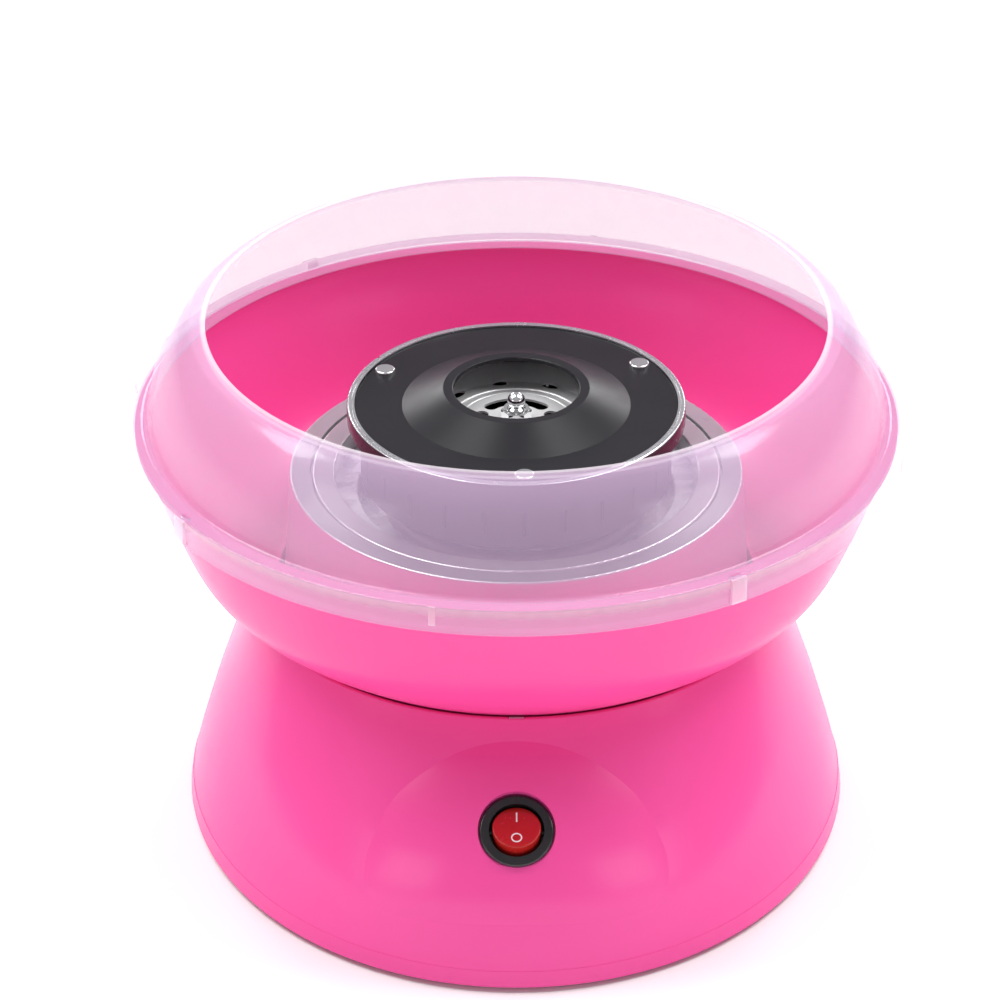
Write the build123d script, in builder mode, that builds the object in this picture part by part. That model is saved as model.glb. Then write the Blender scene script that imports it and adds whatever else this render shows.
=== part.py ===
"""Household cotton candy machine, as an assembly of separate pieces.

Frame: +Z up, the spinning axis is the Z axis, the feet stand on z = 0, the switch faces -Y.
All sizes are in millimetres.
"""
from build123d import *
from math import cos, radians, sin
import os

os.makedirs("parts", exist_ok=True)

# ---------------------------------------------------------------- driving dimensions
TABLE_Z = 7.3             # heights below are counted from a datum this far under the table
FOOT_GAP = 2.0            # the base edge stands this far above the table
BASE_EDGE = TABLE_Z + FOOT_GAP
WALL = 2.4                # moulded wall of the base

# base sections: height, half width (X), depth of the front half (-Y), depth of the rear half (+Y)
BASE_SECTIONS = [
    (15.0, 105.5, 126.9, 112.0),
    (20.0, 104.3, 126.3, 110.5),
    (28.5, 102.1, 124.6, 107.6),
    (36.5, 99.8, 122.0, 104.8),
    (44.0, 97.6, 117.8, 101.9),
    (51.5, 95.2, 112.2, 98.7),
    (59.0, 92.7, 105.4, 95.4),
    (67.0, 90.1, 98.2, 92.0),
    (74.5, 87.6, 91.2, 88.6),
    (82.2, 84.9, 84.9, 84.9),
    (90.0, 82.2, 78.8, 81.2),
]
BAND = (106.4, 127.2, 113.0)      # half width, front and rear depth of the band's lower edge
BAND_STEP = 0.15                  # the band stands this far proud of the wall
BASE_TOP = 82.2
DECK_TOP = 79.2                   # annular deck that carries the dish and the bowl
DECK_THICK = 2.4
DECK_SINK_R = 83.3
DECK_HOLE_R = 62.0

PAD_TILT = 38.6                   # lean of the switch pad's chord from the vertical
PAD_ROUND_R = 81.0                # sideways radius of the switch pad
PAD_PROFILE = [(85.6, 79.2), (92.1, 74.6), (100.2, 68.3), (108.0, 61.2), (114.6, 53.9), (119.7, 45.9),
               (122.9, 37.6), (124.2, 28.9), (124.0, 20.0)]
SEAT_TILT = 50.5                  # elevation of the switch's facing direction
SEAT_CENTRE_R = 109.5             # distance of the seat's centre from the spinning axis
SEAT_CENTRE_Z = 55.7
BEZEL_R = 11.7
SEAT_R = 12.2
CUTOUT_R = 10.1
ROCKER_R = 7.65
ROCKER_OPENING_R = 8.7
ROCKER_FACE = 3.3                 # face of the rocker above its pivot
ROCKER_PIVOT_DEPTH = 1.0
ROCKER_REST = 17.0                # rest tilt of the rocker, upper end pressed in
BEZEL_FACE = 1.9

DISH_TOP = 124.3                  # flat ring round the heater dish
DISH_R = 72.7
DISH_FOOT_R = 75.2
DISH_GROOVE_R = (65.4, 66.2)
DISH_MOUTH_R = 58.3
TRAY_Z = 118.0
TROUGH_R = (28.6, 50.6)           # channel in the tray that holds the heater
TROUGH_Z = 106.6
SHEET = 1.0                       # sheet metal of the dish and the spinner head

BOWL_WALL = 2.2
BOWL_HOLE_R = 76.4
BOWL_RIM_R = 121.8
BOWL_RIM_Z = 143.0

SKIRT_R = 125.0                   # widest radius of the machine
FLANGE_Z = 145.0                  # flat ledge of the guard
GUARD_TOP = 179.1
GUARD_WALL = 1.8
CLIP_TURN = -57.0                 # direction of the first wide clip, counted from +X
CLIP_COUNT = 4

HEAD_RIM_R = 54.1
HEAD_RIM_Z = 148.9
HEAD_BODY_R = 49.8
HEAD_FLOOR_Z = 123.0
LID_TOP = 148.2
CUP_FLOOR_Z = 142.0
CUP_R = 26.4
SPINDLE_R = 2.9
NOSE_Z = 149.4

HEATER_R = 39.6
HEATER_TUBE_R = 3.0
HEATER_Z = 113.2
HEATER_GAP = 18.0                 # degrees of the heater ring left open at the rear

MOTOR_R = 13.85
MOTOR_LOW = 50.0
MOTOR_TOP = 88.0
MOTOR_SHAFT_R = 1.6
SPACER_PITCH_R = 22.0

CATCH_R = 84.0                    # bright catch in the front of the base rim
CATCH_WIDTH = 4.8
CATCH_DEEP = 1.2
CATCH_Z = BASE_TOP - 2.2

SEAM_Y = -27.0                    # lines down the sides of the base, where its two mouldings meet
SEAM_WIDTH = 0.5
SEAM_DEPTH = 0.7

FEET = [(62.0, 66.0), (-62.0, 66.0), (-62.0, -66.0), (62.0, -66.0)]
POSTS = [(66.0, 26.0), (-66.0, 26.0), (-66.0, -26.0), (66.0, -26.0)]
GLAND_Z = 27.0
GLAND_BORE_R = 3.6

SEAT_DIRECTION = Vector(0, -cos(radians(SEAT_TILT)), sin(radians(SEAT_TILT)))
SEAT = Plane(origin=(0, -SEAT_CENTRE_R, SEAT_CENTRE_Z), x_dir=(1, 0, 0), z_dir=SEAT_DIRECTION)


def finish(piece, name):
    """Stand a finished piece on the table, label it and write it out."""
    placed = Pos(0, 0, -TABLE_Z) * piece.part
    placed.label = name
    export_step(placed, f"parts/{name}.step")


def polar_point(radius, turn):
    """A point on a circle round the spinning axis."""
    return radius * cos(radians(turn)), radius * sin(radians(turn))


# ---------------------------------------------------------------- base shell
GLAND_SEAT_Y = BAND[2] - 0.4      # flat on the rear wall that the cord gland's flange rests on


def base_outline(half_width, front, rear):
    """Flat outline of a front and a rear half ellipse."""
    with BuildSketch() as outline:
        with BuildLine():
            EllipticalCenterArc((0, 0), half_width, rear, start_angle=0, arc_size=180)
            EllipticalCenterArc((0, 0), half_width, front, start_angle=180, arc_size=180)
        make_face()
    return outline.sketch


def base_body(inset, low, high):
    """Smooth flared body through the base sections, shrunk by inset, between two heights."""
    with BuildPart() as body:
        for height, half_width, front, rear in BASE_SECTIONS:
            with BuildSketch(Plane.XY.offset(height)):
                add(base_outline(half_width - inset, front - inset, rear - inset))
        loft()
        with BuildSketch(Plane.XY.offset(BASE_EDGE)):
            add(base_outline(*[size - inset for size in BAND]))
        with BuildSketch(Plane.XY.offset(BASE_SECTIONS[0][0])):
            add(base_outline(*[size + BAND_STEP - inset for size in BASE_SECTIONS[0][1:]]))
        loft()
        with BuildSketch(Plane.XY.offset(low)):
            Circle(2 * SKIRT_R)
        extrude(amount=high - low, mode=Mode.INTERSECT)
    return body.part


def switch_pad(inset):
    """Rounded oval pad that carries the switch, as a barrel leaning back with the front wall."""
    lean = Vector(0, sin(radians(PAD_TILT)), cos(radians(PAD_TILT)))
    outward = Vector(0, -cos(radians(PAD_TILT)), sin(radians(PAD_TILT)))
    axis_point = Vector(0, -PAD_PROFILE[4][0], PAD_PROFILE[4][1]) - outward * PAD_ROUND_R
    points = [Vector(0, -radius, height) - outward * inset for radius, height in PAD_PROFILE]
    ends = [axis_point + lean * (point - axis_point).dot(lean) for point in (points[0], points[-1])]
    with BuildPart() as pad:
        with BuildSketch(Plane.YZ):
            with BuildLine():
                flat = [(point.Y, point.Z) for point in points]
                Spline(*flat)
                Polyline(flat[-1], (ends[1].Y, ends[1].Z), (ends[0].Y, ends[0].Z), flat[0])
            make_face()
        revolve(axis=Axis(axis_point, lean), revolution_arc=360)
        with BuildSketch(Plane.XY.offset(BASE_SECTIONS[0][0] + 1.0)):
            with Locations((0, -SKIRT_R)):
                Rectangle(2 * SKIRT_R, 2 * SKIRT_R - 80)
        extrude(amount=BASE_TOP, mode=Mode.INTERSECT)
    return pad.part


with BuildPart() as cavity:
    add(base_body(WALL, BASE_EDGE - 1.0, DECK_TOP - DECK_THICK))
    add(switch_pad(WALL))
    with BuildSketch(Plane.XY.offset(DECK_TOP - DECK_THICK)):
        Circle(2 * SKIRT_R)
    extrude(amount=40, mode=Mode.SUBTRACT)
    # material left standing: the collar behind the switch seat and the four screw posts
    with BuildSketch(SEAT.offset(-WALL)):
        Circle(SEAT_R + 2.2)
    extrude(amount=30, mode=Mode.SUBTRACT)
    with BuildSketch(Plane.XY.offset(BASE_EDGE + 5.4)):
        with Locations(*POSTS):
            Circle(4.0)
    extrude(amount=90, mode=Mode.SUBTRACT)

with BuildPart() as base_shell:
    add(base_body(0, BASE_EDGE, BASE_TOP))
    add(switch_pad(0))
    # flat boss for the cord gland on the rear wall
    with BuildSketch(Plane.XZ.offset(-GLAND_SEAT_Y)):
        with Locations((0, GLAND_Z)):
            Circle(10.0)
    extrude(amount=12)
    with BuildSketch(Plane.XY.offset(BASE_TOP)):
        Circle(2 * SKIRT_R)
    extrude(amount=30, mode=Mode.SUBTRACT)
    add(cavity.part, mode=Mode.SUBTRACT)
    # sunk deck for the bowl and the opening under the dish
    with BuildSketch(Plane.XY.offset(DECK_TOP)):
        Circle(DECK_SINK_R)
    extrude(amount=20, mode=Mode.SUBTRACT)
    fillet(base_shell.faces().filter_by(
        lambda face: face.center().Z > BASE_TOP - 0.01).edges(), 0.7)
    with BuildSketch(Plane.XY.offset(DECK_TOP - 5)):
        Circle(DECK_HOLE_R)
    extrude(amount=10, mode=Mode.SUBTRACT)
    # bosses under the deck for the dish screws, and their holes
    with BuildSketch(Plane.XY.offset(DECK_TOP - 9)):
        with PolarLocations(69.0, 4, start_angle=45):
            Circle(3.6)
    extrude(amount=9)
    with BuildSketch(Plane.XY.offset(DECK_TOP - 8)):
        with PolarLocations(69.0, 4, start_angle=45):
            Circle(1.6)
    extrude(amount=20, mode=Mode.SUBTRACT)
    # screw holes in the posts
    with BuildSketch(Plane.XY.offset(BASE_EDGE)):
        with Locations(*POSTS):
            Circle(1.6)
    extrude(amount=20, mode=Mode.SUBTRACT)
    # notch in the front of the rim for the bowl catch
    with BuildSketch(Plane.XY.offset(CATCH_Z)):
        with Locations((0, -CATCH_R)):
            Rectangle(CATCH_WIDTH + 0.4, CATCH_DEEP + 0.4)
    extrude(amount=20, mode=Mode.SUBTRACT)
    # line where the front panel meets the rear shell, down each side
    with BuildSketch(Plane.XY.offset(BASE_SECTIONS[0][0] + 5.0)):
        Rectangle(2 * SKIRT_R, SEAM_WIDTH)
    seam_cut = extrude(amount=BASE_TOP - BASE_SECTIONS[0][0] - 13.0, mode=Mode.PRIVATE)
    add(Pos(0, SEAM_Y, 0) * (seam_cut - base_body(SEAM_DEPTH, BASE_EDGE, BASE_TOP)), mode=Mode.SUBTRACT)
    # switch seat, seen from the front as a round sink, and the cutout behind it
    with BuildSketch(SEAT):
        Circle(SEAT_R)
    extrude(amount=30, mode=Mode.SUBTRACT)
    with BuildSketch(SEAT.offset(-10)):
        Circle(CUTOUT_R)
    extrude(amount=20, mode=Mode.SUBTRACT)
    # hole for the cord gland
    with BuildSketch(Plane.XZ.offset(-GLAND_SEAT_Y - 10)):
        with Locations((0, GLAND_Z)):
            Circle(6.1)
    extrude(amount=30, mode=Mode.SUBTRACT)
finish(base_shell, "base_shell")

# ---------------------------------------------------------------- bottom cover, feet, cover screws
COVER_TOP = BASE_EDGE + WALL
with BuildPart() as bottom_cover:
    with BuildSketch(Plane.XY.offset(BASE_EDGE)):
        add(base_outline(*[size - WALL - 0.6 for size in BAND]))
    extrude(amount=WALL)
    with BuildSketch(Plane.XY.offset(BASE_EDGE)):
        with Locations(*POSTS):
            Circle(5.4)
    extrude(amount=5.4)
    with BuildSketch(Plane.XY.offset(BASE_EDGE)):
        with Locations(*POSTS):
            Circle(3.5)
    extrude(amount=3.4, mode=Mode.SUBTRACT)
    with BuildSketch(Plane.XY.offset(BASE_EDGE)):
        with Locations(*POSTS):
            Circle(1.6)
        with Locations(*FEET):
            Circle(4.1)
        # cooling slots under the motor and the board
        for side in (-1, 1):
            with Locations((0, side * 30.0)):
                with GridLocations(9.0, 0, 7, 1):
                    SlotOverall(34, 3.6, rotation=90)
    extrude(amount=8, mode=Mode.SUBTRACT)
    # strengthening rim
    with BuildSketch(Plane.XY.offset(COVER_TOP)):
        add(base_outline(*[size - WALL - 1.8 for size in BAND]))
        add(base_outline(*[size - WALL - 3.6 for size in BAND]), mode=Mode.SUBTRACT)
    extrude(amount=3.0)
finish(bottom_cover, "bottom_cover")

with BuildPart() as feet:
    with BuildSketch(Plane.XY.offset(TABLE_Z)):
        with Locations(*FEET):
            Circle(11.0)
    extrude(amount=FOOT_GAP, taper=-8)
    with BuildSketch(Plane.XY.offset(BASE_EDGE)):
        with Locations(*FEET):
            Circle(4.0)
    extrude(amount=WALL)
    with BuildSketch(Plane.XY.offset(COVER_TOP)):
        with Locations(*FEET):
            Circle(5.6)
    extrude(amount=2.4, taper=25)
finish(feet, "rubber_feet")


def pan_screws(places, seat_z, head_r, head_h, shank_r, shank_l, up):
    """Pan head screws as separate solids; up is +1 when the shank points upwards."""
    with BuildPart() as screws:
        with BuildSketch(Plane.XY.offset(seat_z)):
            with Locations(*places):
                Circle(head_r)
        extrude(amount=-up * head_h)
        chamfer(screws.faces().sort_by(Axis.Z)[0 if up > 0 else -1].edges(), 0.5)
        with BuildSketch(Plane.XY.offset(seat_z)):
            with Locations(*places):
                Circle(shank_r)
        extrude(amount=up * shank_l)
        with BuildSketch(Plane.XY.offset(seat_z - up * head_h)):
            with Locations(*places):
                Rectangle(head_r * 1.1, 0.7)
                Rectangle(0.7, head_r * 1.1)
        extrude(amount=up * 0.9, mode=Mode.SUBTRACT)
    return screws


cover_screws = pan_screws(POSTS, BASE_EDGE + 3.4, 3.0, 1.8, 1.5, 14.0, 1)
finish(cover_screws, "cover_screws")

# ---------------------------------------------------------------- cord gland
GLAND_END_Y = BAND[1]             # the gland's sleeve reaches as far back as the base reaches forward
with BuildPart() as cord_gland:
    with BuildSketch(Plane.XZ.offset(-GLAND_SEAT_Y)):
        with Locations((0, GLAND_Z)):
            Circle(8.6)
    extrude(amount=-3.0)
    with BuildSketch(Plane.XZ.offset(-GLAND_SEAT_Y)):
        with Locations((0, GLAND_Z)):
            Circle(6.0)
    extrude(amount=14.0)
    with BuildSketch(Plane.XZ.offset(-(GLAND_SEAT_Y + 3.0))):
        with Locations((0, GLAND_Z)):
            Circle(6.4)
    extrude(amount=-(GLAND_END_Y - GLAND_SEAT_Y - 3.0), taper=5)
    with BuildSketch(Plane.XZ.offset(-(GLAND_END_Y + 5))):
        with Locations((0, GLAND_Z)):
            Circle(GLAND_BORE_R)
    extrude(amount=60.0, mode=Mode.SUBTRACT)
finish(cord_gland, "cord_gland")

# ---------------------------------------------------------------- switch
PIVOT_HEIGHT = SEAT_CENTRE_Z - ROCKER_PIVOT_DEPTH * sin(radians(SEAT_TILT))
PIVOT_DEPTH = -SEAT_CENTRE_R + ROCKER_PIVOT_DEPTH * cos(radians(SEAT_TILT))
with BuildPart() as switch_housing:
    with BuildSketch(SEAT):
        Circle(BEZEL_R)
    extrude(amount=BEZEL_FACE)
    fillet(switch_housing.faces().sort_by(Axis((0, 0, 0), SEAT_DIRECTION))[-1].edges(), 0.8)
    with BuildSketch(SEAT.offset(-15.0)):
        Circle(CUTOUT_R - 0.1)
    extrude(amount=15.0)
    with BuildSketch(SEAT.offset(-10.5)):
        Circle(ROCKER_OPENING_R)
    extrude(amount=20, mode=Mode.SUBTRACT)
    with BuildSketch(Plane.YZ.offset(-(ROCKER_R + 2.1))):
        with Locations((PIVOT_DEPTH, PIVOT_HEIGHT)):
            Circle(0.95)
    extrude(amount=2 * (ROCKER_R + 2.1), mode=Mode.SUBTRACT)
finish(switch_housing, "switch_housing")

ROCKER_TILTED = SEAT.offset(-ROCKER_PIVOT_DEPTH).rotated((-ROCKER_REST, 0, 0))
with BuildPart() as rocker:
    with BuildSketch(ROCKER_TILTED.offset(-5.4)):
        Circle(ROCKER_R - 2.4)
    extrude(amount=4.0)
    with BuildSketch(ROCKER_TILTED.offset(-2.4)):
        Circle(ROCKER_R)
    extrude(amount=2.4 + ROCKER_FACE)
    fillet(rocker.faces().sort_by(Axis((0, 0, 0), ROCKER_TILTED.z_dir))[-1].edges(), 0.5)
    with BuildSketch(Plane.YZ.offset(-(ROCKER_R + 1.9))):
        with Locations((PIVOT_DEPTH, PIVOT_HEIGHT)):
            Circle(0.9)
    extrude(amount=2 * (ROCKER_R + 1.9))
finish(rocker, "switch_rocker")

with BuildPart() as rocker_marks:
    with BuildSketch(ROCKER_TILTED.offset(ROCKER_FACE)):
        with Locations((0, 3.7)):
            Rectangle(0.45, 3.5)
        with Locations((0, -4.07)):
            Circle(1.75)
            Circle(1.33, mode=Mode.SUBTRACT)
    extrude(amount=0.12)
finish(rocker_marks, "switch_marks")

with BuildPart() as switch_blades:
    for across in (-4.0, 4.0):
        with BuildSketch(SEAT.offset(-15.0)):
            with Locations((across, 0)):
                Rectangle(0.8, 4.8)
        extrude(amount=-8.0)
finish(switch_blades, "switch_blades")

# ---------------------------------------------------------------- dish: shell, ring, tray
with BuildPart() as dish_shell:
    with BuildSketch(Plane.XZ):
        with BuildLine():
            Polyline(
                (DISH_GROOVE_R[1], DISH_TOP - SHEET),
                (DISH_GROOVE_R[1], DISH_TOP),
                (DISH_R, DISH_TOP),
                (DISH_FOOT_R, DECK_TOP),
                (DECK_HOLE_R + 1.0, DECK_TOP),
                (DECK_HOLE_R + 1.0, DECK_TOP + SHEET),
                (DISH_FOOT_R - SHEET, DECK_TOP + SHEET),
                (DISH_R - SHEET, DISH_TOP - SHEET),
                (DISH_GROOVE_R[1] + SHEET, DISH_TOP - SHEET),
                (DISH_GROOVE_R[1] + SHEET, DISH_TOP - 4.0),
                (63.4, DISH_TOP - 4.0),
                (63.4, DISH_TOP - 3.0),
                (DISH_GROOVE_R[1], DISH_TOP - 3.0),
                close=True,
            )
        make_face()
    revolve(axis=Axis.Z)
    rim_edges = dish_shell.edges().filter_by(
        lambda edge: abs(edge.center().Z - DISH_TOP) < 0.01 and edge.length > 6.2 * (DISH_R - 0.5))
    fillet(rim_edges, 0.7)
    with BuildSketch(Plane.XY.offset(DECK_TOP)):
        with PolarLocations(69.0, 4, start_angle=45):
            Circle(1.7)
    extrude(amount=3, mode=Mode.SUBTRACT)
finish(dish_shell, "dish_shell")

with BuildPart() as dish_ring:
    with BuildSketch(Plane.XZ):
        with BuildLine():
            Polyline(
                (DISH_MOUTH_R, TRAY_Z),
                (DISH_MOUTH_R, DISH_TOP),
                (DISH_GROOVE_R[0], DISH_TOP),
                (DISH_GROOVE_R[0], DISH_TOP - 3.0),
                (DISH_GROOVE_R[0] - SHEET, DISH_TOP - 3.0),
                (DISH_GROOVE_R[0] - SHEET, DISH_TOP - SHEET),
                (DISH_MOUTH_R + SHEET, DISH_TOP - SHEET),
                (DISH_MOUTH_R + SHEET, TRAY_Z),
                close=True,
            )
        make_face()
    revolve(axis=Axis.Z)
    fillet(dish_ring.edges().filter_by(lambda edge: abs(edge.center().Z - DISH_TOP) < 0.01), 0.6)
finish(dish_ring, "dish_ring")

HEATER_ENDS = [90 - HEATER_GAP / 2, 90 + HEATER_GAP / 2]
with BuildPart() as dish_tray:
    with BuildSketch(Plane.XZ):
        with BuildLine():
            Polyline(
                (7.5, TRAY_Z - SHEET),
                (TROUGH_R[0] - SHEET, TRAY_Z - SHEET),
                (TROUGH_R[0] - SHEET, TROUGH_Z - SHEET),
                (TROUGH_R[1] + SHEET, TROUGH_Z - SHEET),
                (TROUGH_R[1] + SHEET, TRAY_Z - SHEET),
                (63.4, TRAY_Z - SHEET),
                (63.4, DISH_TOP - 3.0),
                (62.4, DISH_TOP - 3.0),
                (62.4, TRAY_Z),
                (TROUGH_R[1], TRAY_Z),
                (TROUGH_R[1], TROUGH_Z),
                (TROUGH_R[0], TROUGH_Z),
                (TROUGH_R[0], TRAY_Z),
                (7.5, TRAY_Z),
                close=True,
            )
        make_face()
    revolve(axis=Axis.Z)
    fold_edges = dish_tray.edges().filter_by(
        lambda edge: abs(edge.center().Z - TRAY_Z) < 0.01 and 6.28 * 20 < edge.length < 6.29 * 51)
    fillet(fold_edges, 0.8)
    with BuildSketch(Plane.XY.offset(TROUGH_Z - 3)):
        for turn in HEATER_ENDS:
            with Locations(polar_point(HEATER_R, turn)):
                Circle(4.0)
    extrude(amount=6, mode=Mode.SUBTRACT)
    with BuildSketch(Plane.XY.offset(TRAY_Z - 3)):
        with PolarLocations(SPACER_PITCH_R, 3, start_angle=90):
            Circle(1.7)
    extrude(amount=6, mode=Mode.SUBTRACT)
finish(dish_tray, "dish_tray")

deck_points = [polar_point(69.0, 45 + 90 * index) for index in range(4)]
dish_screws = pan_screws(deck_points, DECK_TOP + SHEET, 3.0, 1.8, 1.5, 8.0, -1)
finish(dish_screws, "dish_screws")

# ---------------------------------------------------------------- heater
with BuildPart() as heater:
    with BuildSketch(Plane.XZ):
        with Locations((HEATER_R, HEATER_Z)):
            Circle(HEATER_TUBE_R)
    revolve(axis=Axis.Z, revolution_arc=-(360 - HEATER_GAP))
    # ends of the tube turned down through the tray
    for turn in (0, HEATER_GAP):
        with BuildSketch(Plane.XY.offset(HEATER_Z)):
            with Locations(polar_point(HEATER_R, turn)):
                Circle(HEATER_TUBE_R - 0.6)
        extrude(amount=-14.0)
heater_ring = heater.part.rotate(Axis.Z, HEATER_ENDS[0])
with BuildPart() as heater_element:
    add(heater_ring)
finish(heater_element, "heater_element")

with BuildPart() as heater_bushes:
    for turn in HEATER_ENDS:
        with BuildSketch(Plane.XY.offset(TROUGH_Z - 5.0)):
            with Locations(polar_point(HEATER_R, turn)):
                Circle(3.9)
        extrude(amount=6.0)
        with BuildSketch(Plane.XY.offset(TROUGH_Z)):
            with Locations(polar_point(HEATER_R, turn)):
                Circle(5.2)
        extrude(amount=1.0)
        with BuildSketch(Plane.XY.offset(TROUGH_Z - 6)):
            with Locations(polar_point(HEATER_R, turn)):
                Circle(HEATER_TUBE_R - 0.55)
        extrude(amount=12.0, mode=Mode.SUBTRACT)
finish(heater_bushes, "heater_bushes")

with BuildPart() as heater_saddles:
    for turn in (0, 130, 230):
        with BuildSketch(Plane.XY.offset(TROUGH_Z)):
            with Locations(Location(polar_point(HEATER_R, turn), turn)):
                Rectangle(11.0, 7.0)
        extrude(amount=HEATER_Z - TROUGH_Z)
    with BuildSketch(Plane.XZ):
        with Locations((HEATER_R, HEATER_Z)):
            Circle(HEATER_TUBE_R + 0.05)
    revolve(axis=Axis.Z, mode=Mode.SUBTRACT)
finish(heater_saddles, "heater_saddles")

# upright terminal strip beside the spinner head, with its foot on the tray
STRIP_TURN = 31.0
STRIP_R = 54.4
with BuildPart() as sensor_strip:
    with BuildSketch(Plane.XY.offset(TRAY_Z)):
        with Locations(Location(polar_point(STRIP_R, STRIP_TURN), STRIP_TURN)):
            Rectangle(1.0, 3.6)
    extrude(amount=5.6)
    with BuildSketch(Plane.XY.offset(TRAY_Z)):
        with Locations(Location(polar_point(STRIP_R + 1.6, STRIP_TURN), STRIP_TURN)):
            Rectangle(4.2, 3.6)
    extrude(amount=1.0)
finish(sensor_strip, "sensor_strip")

with BuildPart() as thermostat:
    with BuildSketch(Plane.XY.offset(TRAY_Z - SHEET - 7.0)):
        with Locations((0, -17.4)):
            Circle(7.0)
    extrude(amount=7.0)
    for side in (-1, 1):
        with BuildSketch(Plane.XY.offset(TRAY_Z - SHEET - 6.0)):
            with Locations((side * 9.6, -17.4)):
                Rectangle(7.0, 4.0)
        extrude(amount=0.8)
finish(thermostat, "thermostat")

# ---------------------------------------------------------------- heat shield, spacers, motor plate
SHIELD_Z = 97.0
PLATE_Z = MOTOR_TOP
PLATE_THICK = 1.5
SPACER_TURNS = (90, 210, 330)
spacer_points = [polar_point(SPACER_PITCH_R, turn) for turn in SPACER_TURNS]
GROMMET_HALF = 2.0

with BuildPart() as heat_shield:
    with BuildSketch(Plane.XY.offset(SHIELD_Z)):
        Circle(52.0)
        Circle(7.5, mode=Mode.SUBTRACT)
        with Locations(*spacer_points):
            Circle(1.8, mode=Mode.SUBTRACT)
    extrude(amount=0.8)
    with BuildSketch(Plane.XY.offset(SHIELD_Z)):
        Circle(52.0)
        Circle(51.2, mode=Mode.SUBTRACT)
    extrude(amount=-5.0)
finish(heat_shield, "heat_shield")


def spacer_tubes(low, high, radius):
    """Round spacers on the three spacer bolts."""
    with BuildPart() as tubes:
        with BuildSketch(Plane.XY.offset(low)):
            with Locations(*spacer_points):
                Circle(radius)
                Circle(1.75, mode=Mode.SUBTRACT)
        extrude(amount=high - low)
    return tubes


upper_spacers = spacer_tubes(SHIELD_Z + 0.8, TRAY_Z - SHEET, 3.5)
finish(upper_spacers, "upper_spacers")
lower_spacers = spacer_tubes(PLATE_Z + PLATE_THICK + GROMMET_HALF, SHIELD_Z, 3.5)
finish(lower_spacers, "lower_spacers")

with BuildPart() as spacer_bolts:
    with BuildSketch(Plane.XY.offset(TRAY_Z)):
        with Locations(*spacer_points):
            Circle(3.0)
    extrude(amount=1.6)
    chamfer(spacer_bolts.faces().sort_by(Axis.Z)[-1].edges(), 0.4)
    with BuildSketch(Plane.XY.offset(TRAY_Z)):
        with Locations(*spacer_points):
            Circle(1.6)
    extrude(amount=-(TRAY_Z - PLATE_Z + 7.0))
finish(spacer_bolts, "spacer_bolts")

with BuildPart() as spacer_nuts:
    with BuildSketch(Plane.XY.offset(PLATE_Z - GROMMET_HALF)):
        with Locations(*spacer_points):
            RegularPolygon(3.2, 6)
            Circle(1.65, mode=Mode.SUBTRACT)
    extrude(amount=-2.6)
finish(spacer_nuts, "spacer_nuts")

with BuildPart() as grommets:
    with BuildSketch(Plane.XZ):
        with BuildLine():
            Polyline(
                (1.7, PLATE_Z - GROMMET_HALF),
                (5.0, PLATE_Z - GROMMET_HALF),
                (5.0, PLATE_Z),
                (3.0, PLATE_Z),
                (3.0, PLATE_Z + PLATE_THICK),
                (5.0, PLATE_Z + PLATE_THICK),
                (5.0, PLATE_Z + PLATE_THICK + GROMMET_HALF),
                (1.7, PLATE_Z + PLATE_THICK + GROMMET_HALF),
                close=True,
            )
        make_face()
    revolve(axis=Axis.Z)
grommet = grommets.part
with BuildPart() as motor_grommets:
    with Locations(*spacer_points):
        add(grommet)
finish(motor_grommets, "motor_grommets")

with BuildPart() as motor_plate:
    with BuildSketch(Plane.XY.offset(PLATE_Z)):
        Circle(19.0)
        with Locations(*spacer_points):
            Circle(8.0)
        for turn in SPACER_TURNS:
            with Locations(Location(polar_point(SPACER_PITCH_R / 2, turn), turn)):
                Rectangle(SPACER_PITCH_R, 15.0)
        with Locations(*spacer_points):
            Circle(3.0, mode=Mode.SUBTRACT)
        Circle(5.2, mode=Mode.SUBTRACT)
        with Locations((-8.0, 0), (8.0, 0)):
            Circle(1.6, mode=Mode.SUBTRACT)
    extrude(amount=PLATE_THICK)
finish(motor_plate, "motor_plate")

motor_screws = pan_screws([(-8.0, 0), (8.0, 0)], PLATE_Z + PLATE_THICK, 2.6, 1.5, 1.5, 3.4, -1)
finish(motor_screws, "motor_screws")

# ---------------------------------------------------------------- motor, fixed pieces
CAN_WALL = 1.1
with BuildPart() as motor_can:
    with BuildSketch(Plane.XY.offset(MOTOR_LOW)):
        Circle(MOTOR_R)
    extrude(amount=MOTOR_TOP - MOTOR_LOW)
    fillet(motor_can.faces().sort_by(Axis.Z)[-1].edges(), 1.0)
    with BuildSketch(Plane.XY.offset(MOTOR_TOP)):
        Circle(5.0)
    extrude(amount=2.0)
    with BuildSketch(Plane.XY.offset(MOTOR_LOW)):
        Circle(MOTOR_R - CAN_WALL)
    extrude(amount=MOTOR_TOP - MOTOR_LOW - 1.2, mode=Mode.SUBTRACT)
    with BuildSketch(Plane.XY.offset(MOTOR_TOP - 4)):
        Circle(3.5)
    extrude(amount=8, mode=Mode.SUBTRACT)
    with BuildSketch(Plane.XY.offset(MOTOR_TOP - 4)):
        with Locations((-8.0, 0), (8.0, 0)):
            Circle(1.55)
    extrude(amount=8, mode=Mode.SUBTRACT)
finish(motor_can, "motor_can")

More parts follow.
